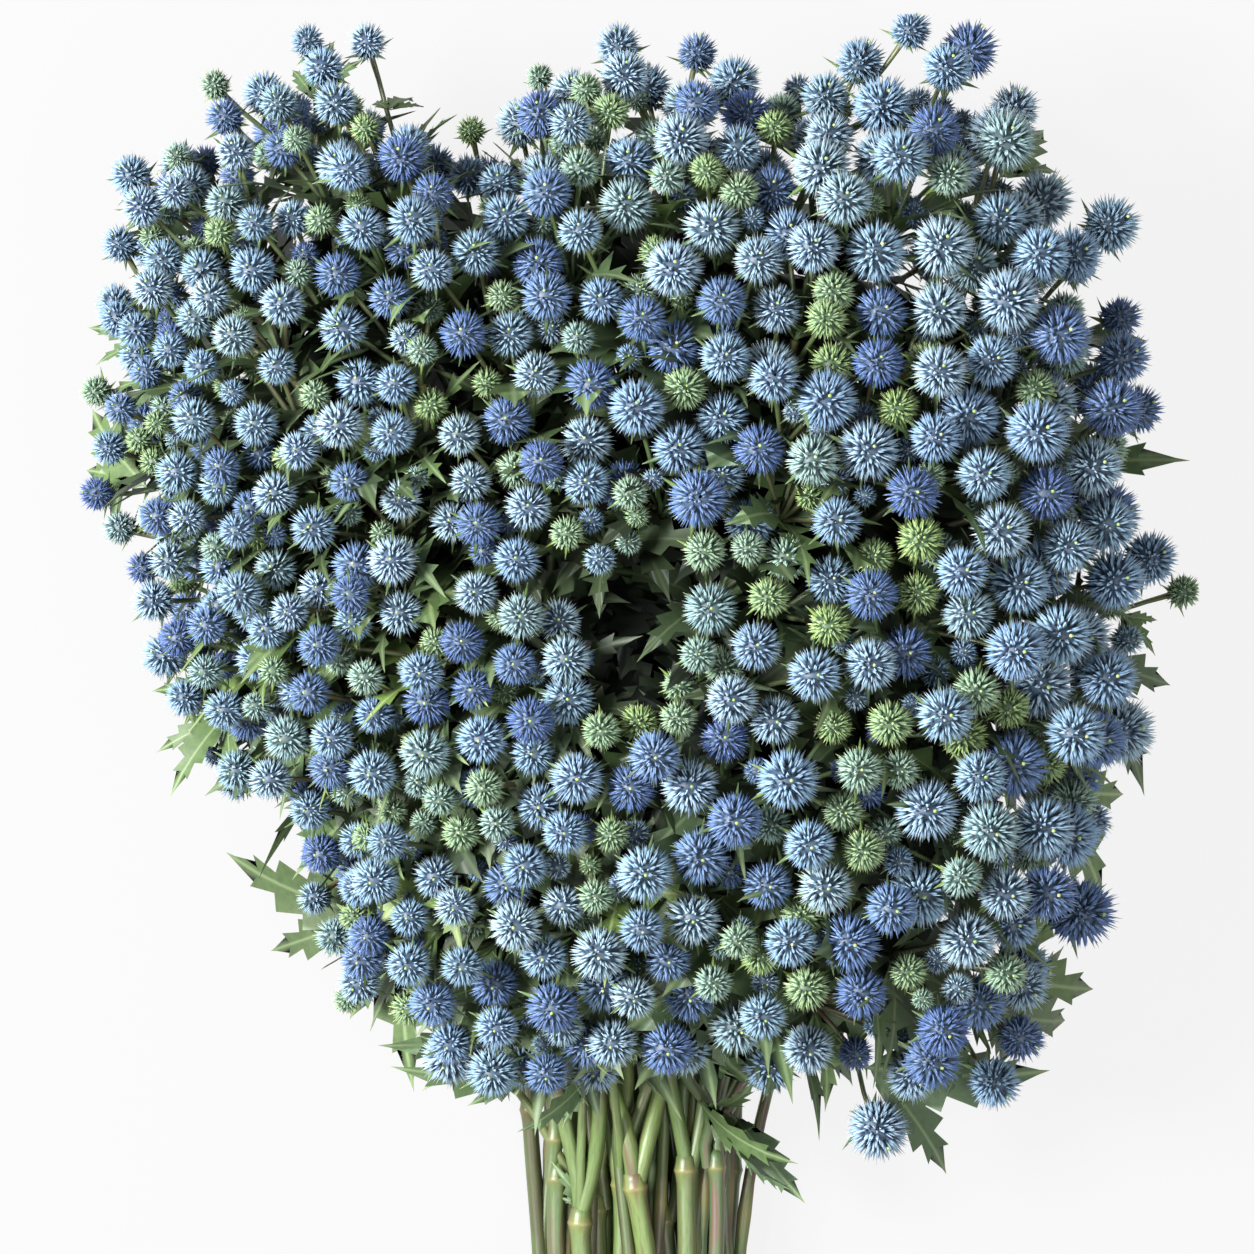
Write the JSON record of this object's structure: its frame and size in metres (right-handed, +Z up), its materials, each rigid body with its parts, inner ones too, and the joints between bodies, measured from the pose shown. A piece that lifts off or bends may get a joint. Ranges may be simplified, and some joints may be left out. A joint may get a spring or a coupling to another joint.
{
  "type": "sea holly bunch",
  "caption": "Lying bunch of cut sea holly stems: a parallel bundle of stalks that fork upwards into a rounded mass of small spiky blue heads with spiny leaves.",
  "frame": {"origin": "on the surface the bunch lies on, under the middle of its bounding box", "axes": "+Y from the cut ends to the flower heads, +Z up from the surface, +X to the bunch's right seen from above"},
  "size_m": [0.3836, 0.649, 0.1882],
  "materials": {
    "sea_holly": "matt plant tissue, steel-blue spiny heads on yellow-green to olive stalks"
  },
  "bodies": {
    "root": {"stem_01": "sea_holly", "stem_02": "sea_holly", "stem_03": "sea_holly", "stem_04": "sea_holly", "stem_05": "sea_holly", "stem_06": "sea_holly", "stem_07": "sea_holly", "stem_08": "sea_holly", "stem_09": "sea_holly", "stem_10": "sea_holly", "stem_11": "sea_holly", "stem_12": "sea_holly", "stem_13": "sea_holly", "stem_14": "sea_holly", "stem_15": "sea_holly", "stem_16": "sea_holly", "stem_17": "sea_holly", "stem_18": "sea_holly", "stem_19": "sea_holly", "stem_20": "sea_holly"}
  },
  "joints": []
}
